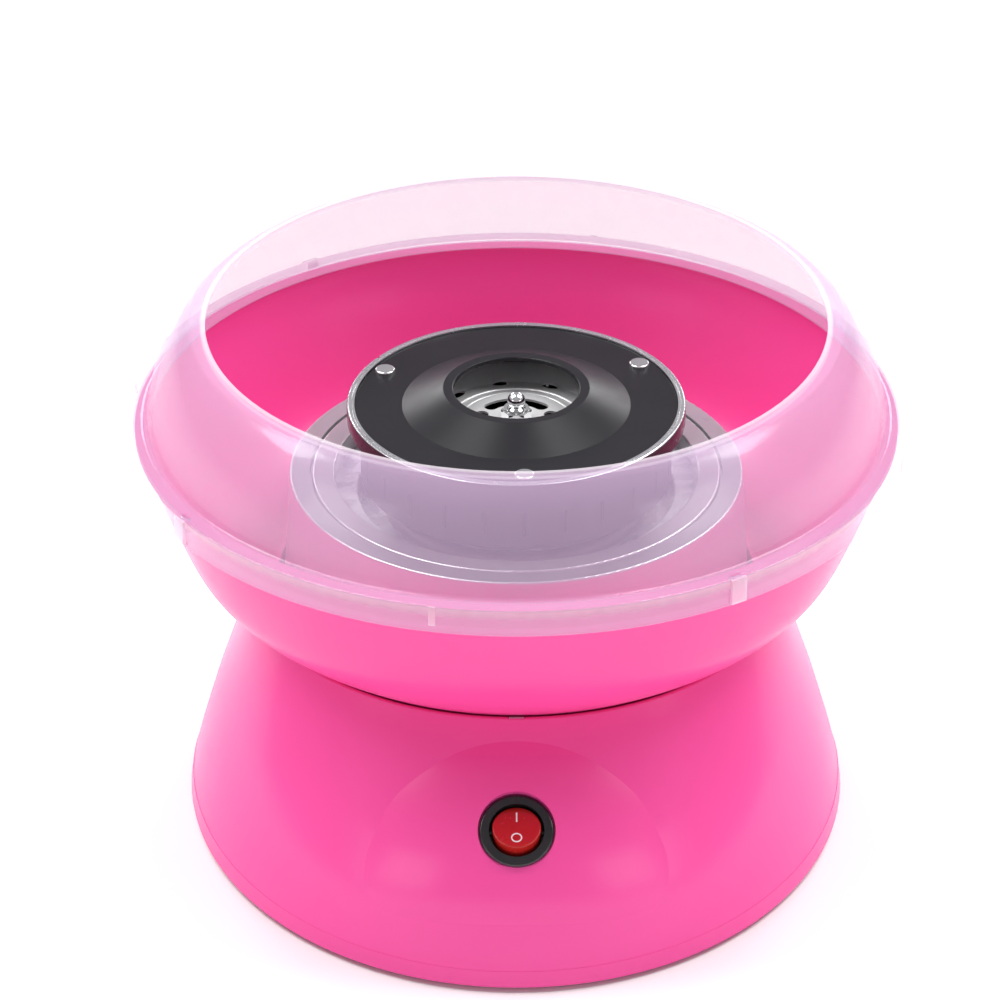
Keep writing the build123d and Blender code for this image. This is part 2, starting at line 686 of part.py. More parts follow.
with BuildPart() as motor_end_cap:
    with BuildSketch(Plane.XY.offset(MOTOR_LOW - 3.0)):
        Circle(MOTOR_R)
    extrude(amount=3.0)
    with BuildSketch(Plane.XY.offset(MOTOR_LOW)):
        Circle(MOTOR_R - CAN_WALL)
        Circle(9.8, mode=Mode.SUBTRACT)
    extrude(amount=3.0)
    with BuildSketch(Plane.XY.offset(MOTOR_LOW - 5.0)):
        Circle(5.0)
    extrude(amount=2.0)
    with BuildSketch(Plane.XY.offset(MOTOR_LOW - 8.0)):
        Circle(3.5)
    extrude(amount=12.0, mode=Mode.SUBTRACT)
finish(motor_end_cap, "motor_end_cap")

with BuildPart() as motor_bushes:
    for low, high in ((MOTOR_LOW - 5.0, MOTOR_LOW - 0.5), (MOTOR_TOP - 1.2, MOTOR_TOP + 2.0)):
        with BuildSketch(Plane.XY.offset(low)):
            Circle(3.5)
            Circle(MOTOR_SHAFT_R + 0.03, mode=Mode.SUBTRACT)
        extrude(amount=high - low)
finish(motor_bushes, "motor_bushes")

with BuildPart() as motor_magnets:
    for middle in (0, 180):
        with BuildSketch(Plane.XY.offset(MOTOR_LOW + 8.0)):
            Circle(MOTOR_R - CAN_WALL)
            Circle(9.9, mode=Mode.SUBTRACT)
            with Locations(Location((0, 0), middle)):
                Polygon((0, 0), (40, 36), (40, -36), align=None, mode=Mode.INTERSECT)
        extrude(amount=22.0)
finish(motor_magnets, "motor_magnets")

with BuildPart() as motor_brushes:
    for side in (-1, 1):
        with BuildSketch(Plane.XY.offset(MOTOR_LOW + 0.6)):
            with Locations((0, side * 6.1)):
                Rectangle(3.0, 4.6)
        extrude(amount=2.6)
finish(motor_brushes, "motor_brushes")

with BuildPart() as motor_tags:
    for side in (-1, 1):
        with BuildSketch(Plane.XY.offset(MOTOR_LOW - 9.0)):
            with Locations((0, side * 9.5)):
                Rectangle(2.6, 0.6)
        extrude(amount=6.0)
finish(motor_tags, "motor_tags")

# ---------------------------------------------------------------- rotor: everything that spins with the motor
SPINDLE_FOOT = 92.6
SPINDLE_SHOULDER = 118.8
SHAFT_TOP = SPINDLE_FOOT + 10.0
PIN_R = 0.7
PIN_Z = SPINDLE_SHOULDER + 1.3
with BuildPart() as motor_shaft:
    with BuildSketch(Plane.XY.offset(MOTOR_LOW - 6.5)):
        Circle(MOTOR_SHAFT_R)
    extrude(amount=SHAFT_TOP - (MOTOR_LOW - 6.5))
    chamfer(motor_shaft.edges().filter_by(GeomType.CIRCLE), 0.3)
finish(motor_shaft, "motor_shaft")

with BuildPart() as rotor_core:
    with BuildSketch(Plane.XY.offset(MOTOR_LOW + 10.0)):
        with PolarLocations(0, 3):
            with Locations((6.0, 0)):
                Rectangle(6.0, 2.8)
            with Locations((8.2, 0)):
                Rectangle(2.2, 12.0)
        Circle(4.0)
        Circle(9.3, mode=Mode.INTERSECT)
        Circle(MOTOR_SHAFT_R, mode=Mode.SUBTRACT)
    extrude(amount=18.0)
finish(rotor_core, "rotor_core")

with BuildPart() as rotor_windings:
    for turn in (0, 120, 240):
        with BuildSketch(Plane.XY.offset(MOTOR_LOW + 8.2)):
            with Locations(Location(polar_point(5.75, turn), turn)):
                Rectangle(2.5, 6.6)
                Rectangle(2.5, 2.8, mode=Mode.SUBTRACT)
        extrude(amount=21.6)
        for low in (MOTOR_LOW + 8.2, MOTOR_LOW + 28.0):
            with BuildSketch(Plane.XY.offset(low)):
                with Locations(Location(polar_point(5.75, turn), turn)):
                    Rectangle(2.5, 6.6)
            extrude(amount=1.8)
finish(rotor_windings, "rotor_windings")

with BuildPart() as commutator:
    with BuildSketch(Plane.XY.offset(MOTOR_LOW + 0.2)):
        Circle(3.6)
        Circle(MOTOR_SHAFT_R, mode=Mode.SUBTRACT)
    extrude(amount=5.6)
finish(commutator, "commutator")

with BuildPart() as drive_spindle:
    with BuildSketch(Plane.XZ):
        with BuildLine():
            Polyline(
                (0, SPINDLE_FOOT),
                (5.0, SPINDLE_FOOT),
                (5.0, SPINDLE_FOOT + 11.0),
                (4.0, SPINDLE_FOOT + 12.0),
                (4.0, SPINDLE_SHOULDER),
                (SPINDLE_R, SPINDLE_SHOULDER),
                (SPINDLE_R, NOSE_Z - 3.3),
                (2.1, NOSE_Z - 2.6),
                (2.1, NOSE_Z - 1.6),
                (0, NOSE_Z - 1.6),
                close=True,
            )
        make_face()
    revolve(axis=Axis.Z)
    with Locations((0, 0, NOSE_Z)):
        Sphere(SPINDLE_R)
    with BuildSketch(Plane.XY.offset(SPINDLE_FOOT)):
        Circle(MOTOR_SHAFT_R)
    extrude(amount=SHAFT_TOP - SPINDLE_FOOT, mode=Mode.SUBTRACT)
    with BuildSketch(Plane.YZ.offset(-10)):
        with Locations((0, PIN_Z)):
            Circle(PIN_R)
    extrude(amount=20, mode=Mode.SUBTRACT)
finish(drive_spindle, "drive_spindle")

with BuildPart() as drive_pin:
    with BuildSketch(Plane.YZ.offset(-4.6)):
        with Locations((0, PIN_Z)):
            Circle(PIN_R)
    extrude(amount=9.2)
finish(drive_pin, "drive_pin")

# ---------------------------------------------------------------- spinner head
HUB_R = 4.0
HUB_TOP = 147.0
PAN_FLOOR_LOW = HEAD_FLOOR_Z - SHEET
RIM_FOOT = HEAD_RIM_Z - 5.5
PAN_TOP = HEAD_RIM_Z - 3.7
RIVET_TURNS = (153, 33, 273)
RIVET_PITCH_R = 47.3
SLOT_COUNT = 24
CUP_HOLES = 10
rivet_points = [polar_point(RIVET_PITCH_R, turn) for turn in RIVET_TURNS]

with BuildPart() as head_pan:
    with BuildSketch(Plane.XZ):
        with BuildLine():
            Polyline(
                (HUB_R + 0.05, PAN_FLOOR_LOW),
                (HEAD_BODY_R - 2.0, PAN_FLOOR_LOW),
                (HEAD_BODY_R, PAN_FLOOR_LOW + 2.0),
                (HEAD_BODY_R, RIM_FOOT + 0.9),
                (51.5, RIM_FOOT + 0.9),
                (51.5, PAN_TOP),
                (HEAD_BODY_R - SHEET, PAN_TOP),
                (HEAD_BODY_R - SHEET, HEAD_FLOOR_Z + 1.6),
                (HEAD_BODY_R - SHEET - 1.6, HEAD_FLOOR_Z),
                (HUB_R + 0.05, HEAD_FLOOR_Z),
                close=True,
            )
        make_face()
    revolve(axis=Axis.Z)
    # lugs inside the wall for the lid rivets
    with BuildSketch(Plane.XY.offset(139.0)):
        for turn in RIVET_TURNS:
            with Locations(Location(polar_point(46.9, turn), turn)):
                Rectangle(4.4, 6.4)
    extrude(amount=PAN_TOP - 139.0)
    with BuildSketch(Plane.XY.offset(138.0)):
        with Locations(*rivet_points):
            Circle(1.25)
    extrude(amount=12, mode=Mode.SUBTRACT)
    # narrow outlets round the wall, where the sugar leaves
    with BuildSketch(Plane.XY.offset(128.0)):
        for index in range(SLOT_COUNT):
            turn = 3 + index * 360 / SLOT_COUNT
            with Locations(Location(polar_point(HEAD_BODY_R, turn), turn)):
                Rectangle(6.0, 1.0)
    extrude(amount=8.0, mode=Mode.SUBTRACT)
finish(head_pan, "head_pan")

with BuildPart() as head_rim:
    with BuildSketch(Plane.XZ):
        with BuildLine():
            Polyline(
                (51.7, RIM_FOOT + 0.8),
                (51.7, HEAD_RIM_Z),
                (52.3, HEAD_RIM_Z),
                (52.4, HEAD_RIM_Z - 0.7),
                (52.7, HEAD_RIM_Z - 0.7),
                (52.8, HEAD_RIM_Z),
                (HEAD_RIM_R, HEAD_RIM_Z),
                (HEAD_RIM_R, RIM_FOOT),
                (HEAD_BODY_R + 0.2, RIM_FOOT),
                (HEAD_BODY_R + 0.2, RIM_FOOT + 0.8),
                close=True,
            )
        make_face()
    revolve(axis=Axis.Z)
    fillet(head_rim.edges().filter_by(
        lambda edge: edge.center().Z > HEAD_RIM_Z - 0.01 and edge.length > 6.28 * (HEAD_RIM_R - 0.1)), 0.55)
    # locating notch
    with BuildSketch(Plane.XY.offset(HEAD_RIM_Z - 0.9)):
        with Locations(Location(polar_point(HEAD_RIM_R, 146), 146)):
            Rectangle(2.4, 1.2)
    extrude(amount=2.0, mode=Mode.SUBTRACT)
finish(head_rim, "head_rim")

with BuildPart() as head_lid:
    with BuildSketch(Plane.XZ):
        with BuildLine():
            Polyline(
                (51.5, PAN_TOP),
                (51.5, LID_TOP),
                (36.5, LID_TOP),
                (23.4, LID_TOP + 6.0),
                (20.1, LID_TOP + 6.0),
                (20.1, LID_TOP + 4.6),
                (23.0, LID_TOP + 4.6),
                (35.0, PAN_TOP),
                close=True,
            )
        make_face()
    revolve(axis=Axis.Z)
    lip_edges = head_lid.edges().filter_by(lambda edge: edge.center().Z > LID_TOP + 5.9)
    fillet(lip_edges, 0.45)
    with BuildSketch(Plane.XY.offset(140)):
        with Locations(*rivet_points):
            Circle(1.3)
    extrude(amount=12, mode=Mode.SUBTRACT)
finish(head_lid, "head_lid")

with BuildPart() as lid_rivets:
    with BuildSketch(Plane.XY.offset(LID_TOP)):
        with Locations(*rivet_points):
            Circle(3.2)
    extrude(amount=1.2)
    fillet(lid_rivets.faces().filter_by(
        lambda face: abs(face.center().Z - LID_TOP - 1.2) < 0.01).edges(), 0.5)
    with BuildSketch(Plane.XY.offset(LID_TOP)):
        with Locations(*rivet_points):
            Circle(1.2)
    extrude(amount=140.0 - LID_TOP)
finish(lid_rivets, "lid_rivets")

with BuildPart() as sugar_cup:
    with BuildSketch(Plane.XZ):
        with BuildLine():
            Polyline(
                (15.0, CUP_FLOOR_Z - 0.8),
                (CUP_R, CUP_FLOOR_Z - 0.8),
                (33.6, PAN_TOP - 0.5),
                (47.6, PAN_TOP - 0.5),
                (47.6, PAN_TOP),
                (33.2, PAN_TOP),
                (CUP_R - 0.3, CUP_FLOOR_Z),
                (15.0, CUP_FLOOR_Z),
                close=True,
            )
        make_face()
    revolve(axis=Axis.Z)
    with BuildSketch(Plane.XZ):
        for radius in (18.6, 21.6):
            with Locations((radius, CUP_FLOOR_Z)):
                Ellipse(0.7, 0.35)
    revolve(axis=Axis.Z)
    # oval outlets round the edge of the floor
    with BuildSketch(Plane.XY.offset(CUP_FLOOR_Z - 2)):
        for index in range(CUP_HOLES):
            turn = 29 + index * 360 / CUP_HOLES
            with Locations(Location(polar_point(25.6, turn), turn)):
                Ellipse(1.5, 3.1)
    extrude(amount=4, mode=Mode.SUBTRACT)
    # clear of the rivet lugs
    with BuildSketch(Plane.XY.offset(PAN_TOP - 2)):
        for turn in RIVET_TURNS:
            with Locations(Location(polar_point(47.0, turn), turn)):
                Rectangle(5.0, 7.0)
    extrude(amount=4, mode=Mode.SUBTRACT)
finish(sugar_cup, "sugar_cup")

with BuildPart() as head_hub:
    with BuildSketch(Plane.XY.offset(SPINDLE_SHOULDER + 0.1)):
        Circle(6.5)
    extrude(amount=PAN_FLOOR_LOW - SPINDLE_SHOULDER - 0.1)
    with BuildSketch(Plane.XY.offset(PAN_FLOOR_LOW)):
        Circle(HUB_R)
    extrude(amount=HUB_TOP - PAN_FLOOR_LOW)
    with BuildSketch(Plane.XY.offset(HEAD_FLOOR_Z)):
        Circle(6.0)
    extrude(amount=CUP_FLOOR_Z - HEAD_FLOOR_Z)
    with BuildSketch(Plane.XY.offset(SPINDLE_SHOULDER)):
        Circle(SPINDLE_R + 0.08)
    extrude(amount=30, mode=Mode.SUBTRACT)
    with BuildSketch(Plane.XY.offset(SPINDLE_SHOULDER)):
        Rectangle(20.0, 1.7)
    extrude(amount=2.2, mode=Mode.SUBTRACT)
finish(head_hub, "head_hub")

with BuildPart() as hub_plate:
    with BuildSketch(Plane.XY.offset(CUP_FLOOR_Z)):
        Circle(17.2)
        Circle(HUB_R + 0.05, mode=Mode.SUBTRACT)
        with PolarLocations(11.4, 6):
            SlotArc(CenterArc((-11.4, 0), 11.4, -15, 30), 4.4, mode=Mode.SUBTRACT)
    extrude(amount=0.8)
finish(hub_plate, "hub_plate")

with BuildPart() as hub_nut:
    with BuildSketch(Plane.XY.offset(CUP_FLOOR_Z + 0.8)):
        RegularPolygon(4.9, 6)
        Circle(HUB_R + 0.02, mode=Mode.SUBTRACT)
    extrude(amount=3.4)
finish(hub_nut, "hub_nut")

# ---------------------------------------------------------------- bowl
BOWL_OUTER = [(81.0, 81.0), (92.5, 89.0), (103.0, 99.0), (109.2, 111.0), (114.0, 123.0), (118.7, 135.0)]
with BuildPart() as bowl:
    with BuildSketch(Plane.XZ):
        with BuildLine():
            outside = Spline(*BOWL_OUTER)
            Polyline(
                BOWL_OUTER[-1],
                (119.4, 141.0),
                (BOWL_RIM_R, 141.0),
                (BOWL_RIM_R, BOWL_RIM_Z),
                (117.6, BOWL_RIM_Z),
            )
            inside = Spline(
                (117.6, BOWL_RIM_Z),
                (116.4, 135.3),
                (111.9, 123.7),
                (107.1, 111.8),
                (101.2, 100.4),
                (91.1, 90.8),
                (80.6, 83.4),
            )
            Polyline(
                inside @ 1,
                (78.8, 82.6),
                (78.6, 86.0),
                (BOWL_HOLE_R + 0.6, 86.0),
                (BOWL_HOLE_R, 79.5),
                (78.8, 79.5),
                BOWL_OUTER[0],
            )
        make_face()
    revolve(axis=Axis.Z)
finish(bowl, "bowl")

with BuildPart() as bowl_catch:
    with BuildSketch(Plane.XY.offset(CATCH_Z)):
        with Locations((0, -CATCH_R)):
            Rectangle(CATCH_WIDTH, CATCH_DEEP)
    extrude(amount=BASE_TOP - 0.2 - CATCH_Z)
    fillet(bowl_catch.edges().filter_by(Axis.Z), 0.3)
finish(bowl_catch, "bowl_catch")

# ---------------------------------------------------------------- guard
GUARD_OUTER = [(105.2, 177.9), (110.1, 172.0), (113.0, 166.0), (115.2, 160.0), (116.7, 154.0), (117.9, 149.0), (118.6, 145.0)]
with BuildPart() as guard:
    with BuildSketch(Plane.XZ):
        with BuildLine():
            Polyline((98.8, GUARD_TOP - 1.9), (98.8, GUARD_TOP), (104.0, GUARD_TOP), GUARD_OUTER[0])
            Spline(*GUARD_OUTER)
            Polyline(
                GUARD_OUTER[-1],
                (SKIRT_R, FLANGE_Z),
                (SKIRT_R - 0.8, 135.4),
                (SKIRT_R - 2.6, 135.4),
                (SKIRT_R - 2.6, FLANGE_Z - GUARD_WALL),
                (116.6, FLANGE_Z - GUARD_WALL),
            )
            Spline(
                (116.6, FLANGE_Z - GUARD_WALL),
                (116.0, 149.0),
                (114.9, 154.0),
                (113.3, 160.0),
                (111.1, 166.0),
                (108.2, 171.9),
                (103.6, GUARD_TOP - 1.9),
            )
            Line((103.6, GUARD_TOP - 1.9), (98.8, GUARD_TOP - 1.9))
        make_face()
    revolve(axis=Axis.Z)
    foot = guard.edges().filter_by(
        lambda edge: abs(edge.center().Z - FLANGE_Z) < 0.01 and edge.length < 6.29 * 119)
    fillet(foot, 1.6)
    ledge = guard.edges().filter_by(
        lambda edge: abs(edge.center().Z - FLANGE_Z) < 0.01 and edge.length > 6.27 * SKIRT_R)
    fillet(ledge, 0.9)
    # wide clips: a slot through the ledge and a tab on the skirt
    with BuildSketch(Plane.XY.offset(FLANGE_Z - 5)):
        for index in range(CLIP_COUNT):
            turn = CLIP_TURN + index * 360 / CLIP_COUNT
            with Locations(Location(polar_point(122.9, turn), turn)):
                Rectangle(1.4, 3.4)
    extrude(amount=8, mode=Mode.SUBTRACT)
    with BuildSketch(Plane.XY.offset(136.4)):
        for index in range(CLIP_COUNT):
            turn = CLIP_TURN + index * 360 / CLIP_COUNT
            with Locations(Location(polar_point(SKIRT_R - 0.2, turn), turn)):
                Rectangle(1.9, 5.4)
    extrude(amount=8.4)
    # narrow ribs half way between the clips
    with BuildSketch(Plane.XY.offset(138.4)):
        for index in range(CLIP_COUNT):
            turn = CLIP_TURN + (index + 0.5) * 360 / CLIP_COUNT
            with Locations(Location(polar_point(SKIRT_R - 0.4, turn), turn)):
                Rectangle(1.7, 2.2)
    extrude(amount=6.4)
finish(guard, "guard")

# ---------------------------------------------------------------- rectifier board
BOARD_Z = 19.0
with BuildPart() as board_pillars:
    with BuildSketch(Plane.XY.offset(COVER_TOP)):
        with Locations((-17.0, 60.0), (17.0, 60.0)):
            Circle(2.6)
    extrude(amount=BOARD_Z - COVER_TOP)
finish(board_pillars, "board_pillars")

with BuildPart() as rectifier_board:
    with BuildSketch(Plane.XY.offset(BOARD_Z)):
        with Locations((0, 51.0)):
            Rectangle(42.0, 26.0)
    extrude(amount=1.6)
finish(rectifier_board, "rectifier_board")

with BuildPart() as rectifier_diodes:
    with BuildSketch(Plane.XY.offset(BOARD_Z + 1.6)):
        with Locations((-12.0, 50.0)):
            with GridLocations(5.0, 0, 4, 1):
                Rectangle(2.8, 6.0)
    extrude(amount=2.8)
finish(rectifier_diodes, "rectifier_diodes")

with BuildPart() as smoothing_capacitor:
    with BuildSketch(Plane.XY.offset(BOARD_Z + 1.6)):
        with Locations((10.0, 50.0)):
            Circle(5.0)
    extrude(amount=14.0)
    fillet(smoothing_capacitor.faces().sort_by(Axis.Z)[-1].edges(), 0.8)
finish(smoothing_capacitor, "smoothing_capacitor")
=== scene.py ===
import math
from collections import namedtuple

import bpy
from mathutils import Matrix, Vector

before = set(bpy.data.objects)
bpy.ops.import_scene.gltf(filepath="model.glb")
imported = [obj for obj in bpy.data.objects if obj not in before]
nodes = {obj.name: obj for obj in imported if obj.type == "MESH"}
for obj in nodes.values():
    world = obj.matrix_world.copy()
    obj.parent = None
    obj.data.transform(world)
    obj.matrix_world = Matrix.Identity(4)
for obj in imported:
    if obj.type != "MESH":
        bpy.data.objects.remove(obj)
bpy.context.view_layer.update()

scene = bpy.context.scene


# ---------------------------------------------------------------- node helpers
CLOUD_RANGE = (0.2, 0.8)        # stretch of the noise that the two shades are spread over
WEAR_RANGE = (0.15, 0.85)       # the same for roughness

# fine relief: noise scale per metre, bump strength, bump height in metres
Relief = namedtuple("Relief", "scale strength distance")


class Mat:
    """A procedural material under construction; coordinates are the row frame's at rest, in metres,
    and move with the piece."""

    def __init__(self, name):
        self.mat = bpy.data.materials.new(name)
        self.mat.use_nodes = True
        self.tree = self.mat.node_tree
        self.tree.nodes.clear()
        self.out = self.new("ShaderNodeOutputMaterial")
        self.bsdf = self.new("ShaderNodeBsdfPrincipled")
        self.link(self.bsdf, "BSDF", self.out, "Surface")
        self.coord = self.new("ShaderNodeTexCoord")

    def new(self, kind, **props):
        node = self.tree.nodes.new(kind)
        for key, value in props.items():
            setattr(node, key, value)
        return node

    def link(self, a, out, b, inp):
        self.tree.links.new(a.outputs[out], b.inputs[inp])

    def set(self, **values):
        for key, value in values.items():
            name = key.replace("_", " ")
            self.bsdf.inputs[name].default_value = value

    def noise(self, scale, detail=4.0, rough=0.5, distortion=0.0, coord=None):
        n = self.new("ShaderNodeTexNoise")
        n.inputs["Scale"].default_value = scale
        n.inputs["Detail"].default_value = detail
        n.inputs["Roughness"].default_value = rough
        n.inputs["Distortion"].default_value = distortion
        src, out = coord or (self.coord, "Object")
        self.link(src, out, n, "Vector")
        return n

    def ramp(self, src, out, low, high, a=0.0, b=1.0):
        """Maps low to a and high to b, and holds those values beyond them."""
        n = self.new("ShaderNodeMapRange")
        n.inputs["From Min"].default_value = low
        n.inputs["From Max"].default_value = high
        n.inputs["To Min"].default_value = a
        n.inputs["To Max"].default_value = b
        self.link(src, out, n, "Value")
        return n

    def mix(self, fac, fac_out, a, b):
        """Colour a where the factor is 0, colour b where it is 1."""
        n = self.new("ShaderNodeMix", data_type="RGBA")
        n.inputs["A"].default_value = (*a, 1.0)
        n.inputs["B"].default_value = (*b, 1.0)
        self.link(fac, fac_out, n, "Factor")
        return n

    def math(self, op, a, a_out, b, b_out=None):
        n = self.new("ShaderNodeMath", operation=op)
        self.link(a, a_out, n, 0)
        if b_out is None:
            n.inputs[1].default_value = b
        else:
            self.link(b, b_out, n, 1)
        return n

    def bump(self, src, out, strength, distance):
        """Adds a bump layer on top of the ones already there."""
        n = self.new("ShaderNodeBump")
        n.inputs["Strength"].default_value = strength
        n.inputs["Distance"].default_value = distance
        self.link(src, out, n, "Height")
        old = self.bsdf.inputs["Normal"].links
        if old:
            before = old[0].from_node
            self.tree.links.remove(old[0])
            self.link(before, "Normal", n, "Normal")
        self.link(n, "Normal", self.bsdf, "Normal")
        return n

    def colour(self, scale, a, b, detail=3.0):
        """Soft clouds of two close shades."""
        n = self.noise(scale, detail)
        r = self.ramp(n, "Fac", *CLOUD_RANGE)
        m = self.mix(r, "Result", a, b)
        self.link(m, "Result", self.bsdf, "Base Color")
        return m

    def roughness(self, scale, low, high, detail=5.0):
        """Roughness that wanders between low and high."""
        n = self.noise(scale, detail)
        r = self.ramp(n, "Fac", *WEAR_RANGE, low, high)
        self.link(r, "Result", self.bsdf, "Roughness")
        return r

    def radius(self):
        """Distance from the spinning axis, and the split coordinates."""
        sep = self.new("ShaderNodeSeparateXYZ")
        self.link(self.coord, "Object", sep, "Vector")
        comb = self.new("ShaderNodeCombineXYZ")
        self.link(sep, "X", comb, "X")
        self.link(sep, "Y", comb, "Y")
        n = self.new("ShaderNodeVectorMath", operation="LENGTH")
        self.link(comb, "Vector", n, 0)
        return n, sep

    def turned(self, scale, strength, distance):
        """Fine concentric lathe lines round the spinning axis."""
        rad, sep = self.radius()
        comb = self.new("ShaderNodeCombineXYZ")
        self.link(rad, "Value", comb, "X")
        self.link(sep, "Z", comb, "Y")
        n = self.noise(scale, detail=6.0, rough=0.65, coord=(comb, "Vector"))
        self.bump(n, "Fac", strength, distance)


def paint(material, *names):
    """Puts one material in every slot of the named pieces."""
    for name in names:
        obj = nodes[name]
        for slot in obj.material_slots:
            slot.material = material.mat
        if not obj.material_slots:
            obj.data.materials.append(material.mat)


# ---------------------------------------------------------------- materials
# radii in metres between which a material changes, on parts turned about the spinning axis
LIP_RADII = (0.1008, 0.0998)        # edge of the guard's mouth, where a painted highlight whitens the guard
LEDGE_RADII = (0.1246, 0.1249)      # rim of the guard's ledge, where a painted highlight whitens the guard
RIM_RADII = (0.0540, 0.0538)        # from the spinner head's outer skirt, painted dark as painted shade, to its bright edge
PIN_X = (0.00757, 0.00762)          # from the rocker's red sides to its pin ends, painted dark as painted shade of the slot


def pink_plastic(name, low, high, rough):
    """Moulded plastic with a slight orange peel."""
    m = Mat(name)
    m.colour(9.0, low, high, detail=1.0)
    m.roughness(45.0, *rough, detail=2.0)
    m.set(IOR=1.47, Specular_IOR_Level=0.36)
    peel = m.noise(260.0, detail=0.0)
    m.bump(peel, "Fac", strength=0.02, distance=0.00006)
    return m


def guard_plastic():
    """A milky sheet with painted highlights: white at the lip of the mouth and the rim of the
    ledge.
    """
    m = Mat("guard_plastic")
    veil = m.colour(12.0, (0.64, 0.47, 0.68), (0.69, 0.51, 0.73), detail=1.0)
    far, _ = m.radius()
    lip = m.ramp(far, "Value", *LIP_RADII)
    ledge = m.ramp(far, "Value", *LEDGE_RADII)
    # painted highlight: the lip and the ledge rim are blended towards white
    edges = m.math("MAXIMUM", lip, "Result", ledge, "Result")
    tone = m.new("ShaderNodeMix", data_type="RGBA")
    tone.inputs["B"].default_value = (1.0, 0.93, 1.0, 1.0)
    m.link(edges, "Value", tone, "Factor")
    m.link(veil, "Result", tone, "A")
    m.link(tone, "Result", m.bsdf, "Base Color")
    m.roughness(60.0, 0.13, 0.19, detail=2.0)
    m.set(IOR=1.8, Alpha=0.34)
    wave = m.noise(26.0, detail=1.0)
    m.bump(wave, "Fac", strength=0.20, distance=0.0008)
    fine = m.noise(900.0, detail=2.0)
    m.bump(fine, "Fac", strength=0.02, distance=0.00002)
    return m


def metal(name, a, b, rough, scale=60.0, lathe=None, grain=None, metallic=1.0, coat=0.0):
    """Bare metal of two close shades, with turning lines, a grain, or both."""
    m = Mat(name)
    m.colour(scale, a, b)
    m.roughness(scale * 5.0, *rough)
    m.set(Metallic=metallic, Coat_Weight=coat, Coat_Roughness=0.15)
    if lathe:
        m.turned(*lathe)
    if grain:
        n = m.noise(grain.scale)
        m.bump(n, "Fac", grain.strength, grain.distance)
    return m


def galvanised():
    """Zinc crystals, each with its own shade and gloss, under a fine speckle."""
    m = Mat("galvanised")
    vor = m.new("ShaderNodeTexVoronoi", feature="F1")
    vor.inputs["Scale"].default_value = 260.0
    m.link(m.coord, "Object", vor, "Vector")
    sep = m.new("ShaderNodeSeparateColor")
    m.link(vor, "Color", sep, "Color")
    shade = m.mix(sep, "Red", (0.62, 0.63, 0.66), (0.93, 0.94, 0.97))
    speck = m.noise(1500.0, rough=0.7)
    speck_r = m.ramp(speck, "Fac", 0.42, 0.62, a=0.75, b=1.1)
    mul = m.new("ShaderNodeMix", data_type="RGBA", blend_type="MULTIPLY")
    mul.inputs["Factor"].default_value = 1.0
    m.link(shade, "Result", mul, "A")
    m.link(speck_r, "Result", mul, "B")
    m.link(mul, "Result", m.bsdf, "Base Color")
    rough = m.ramp(sep, "Green", 0.0, 1.0, a=0.28, b=0.55)
    m.link(rough, "Result", m.bsdf, "Roughness")
    m.set(Metallic=0.55)
    m.bump(speck, "Fac", strength=0.25, distance=0.00008)
    return m


def plain(name, a, b, rough, scale=80.0, grain=Relief(900.0, 0.15, 0.00006), **extra):
    """Any other surface of two close shades, with a grain."""
    m = Mat(name)
    m.colour(scale, a, b)
    m.roughness(scale * 4.0, *rough)
    n = m.noise(grain.scale)
    m.bump(n, "Fac", grain.strength, grain.distance)
    m.set(**extra)
    return m


def black_lid():
    """Satin black with faint turning lines."""
    m = Mat("black_lid")
    m.colour(35.0, (0.010, 0.009, 0.012), (0.014, 0.013, 0.016))
    m.roughness(200.0, 0.30, 0.36)
    m.set(IOR=1.42, Specular_IOR_Level=0.32)
    m.turned(2400.0, 0.05, 0.00003)
    fine = m.noise(3500.0, detail=3.0)
    m.bump(fine, "Fac", strength=0.05, distance=0.00002)
    return m


def rolled_rim():
    """Bright rolled edge, with its outer skirt painted near-black as painted shade under the edge.
    """
    m = Mat("rolled_rim")
    far, _ = m.radius()
    # painted shade: outside RIM_RADII the skirt is near-black and not metallic
    step = m.ramp(far, "Value", *RIM_RADII)
    tone = m.mix(step, "Result", (0.035, 0.033, 0.036), (0.86, 0.86, 0.88))
    m.link(tone, "Result", m.bsdf, "Base Color")
    m.link(step, "Result", m.bsdf, "Metallic")
    m.roughness(300.0, 0.20, 0.30)
    m.set(Specular_IOR_Level=0.15)
    m.turned(3200.0, 0.10, 0.00003)
    return m


def red_rocker():
    """Glossy red, with the ends of the pivot pins painted near-black as painted shade in the gap
    round the rocker.
    """
    m = Mat("red_rocker")
    _, parts = m.radius()
    side = m.math("ABSOLUTE", parts, "X", 0.0)
    # painted shade: beyond PIN_X the pin ends are near-black
    pin = m.ramp(side, "Value", *PIN_X)
    tone = m.mix(pin, "Result", (0.45, 0.014, 0.012), (0.010, 0.009, 0.009))
    m.link(tone, "Result", m.bsdf, "Base Color")
    m.roughness(320.0, 0.22, 0.30)
    m.set(IOR=1.45)
    peel = m.noise(900.0, detail=2.0)
    m.bump(peel, "Fac", strength=0.05, distance=0.00003)
    return m


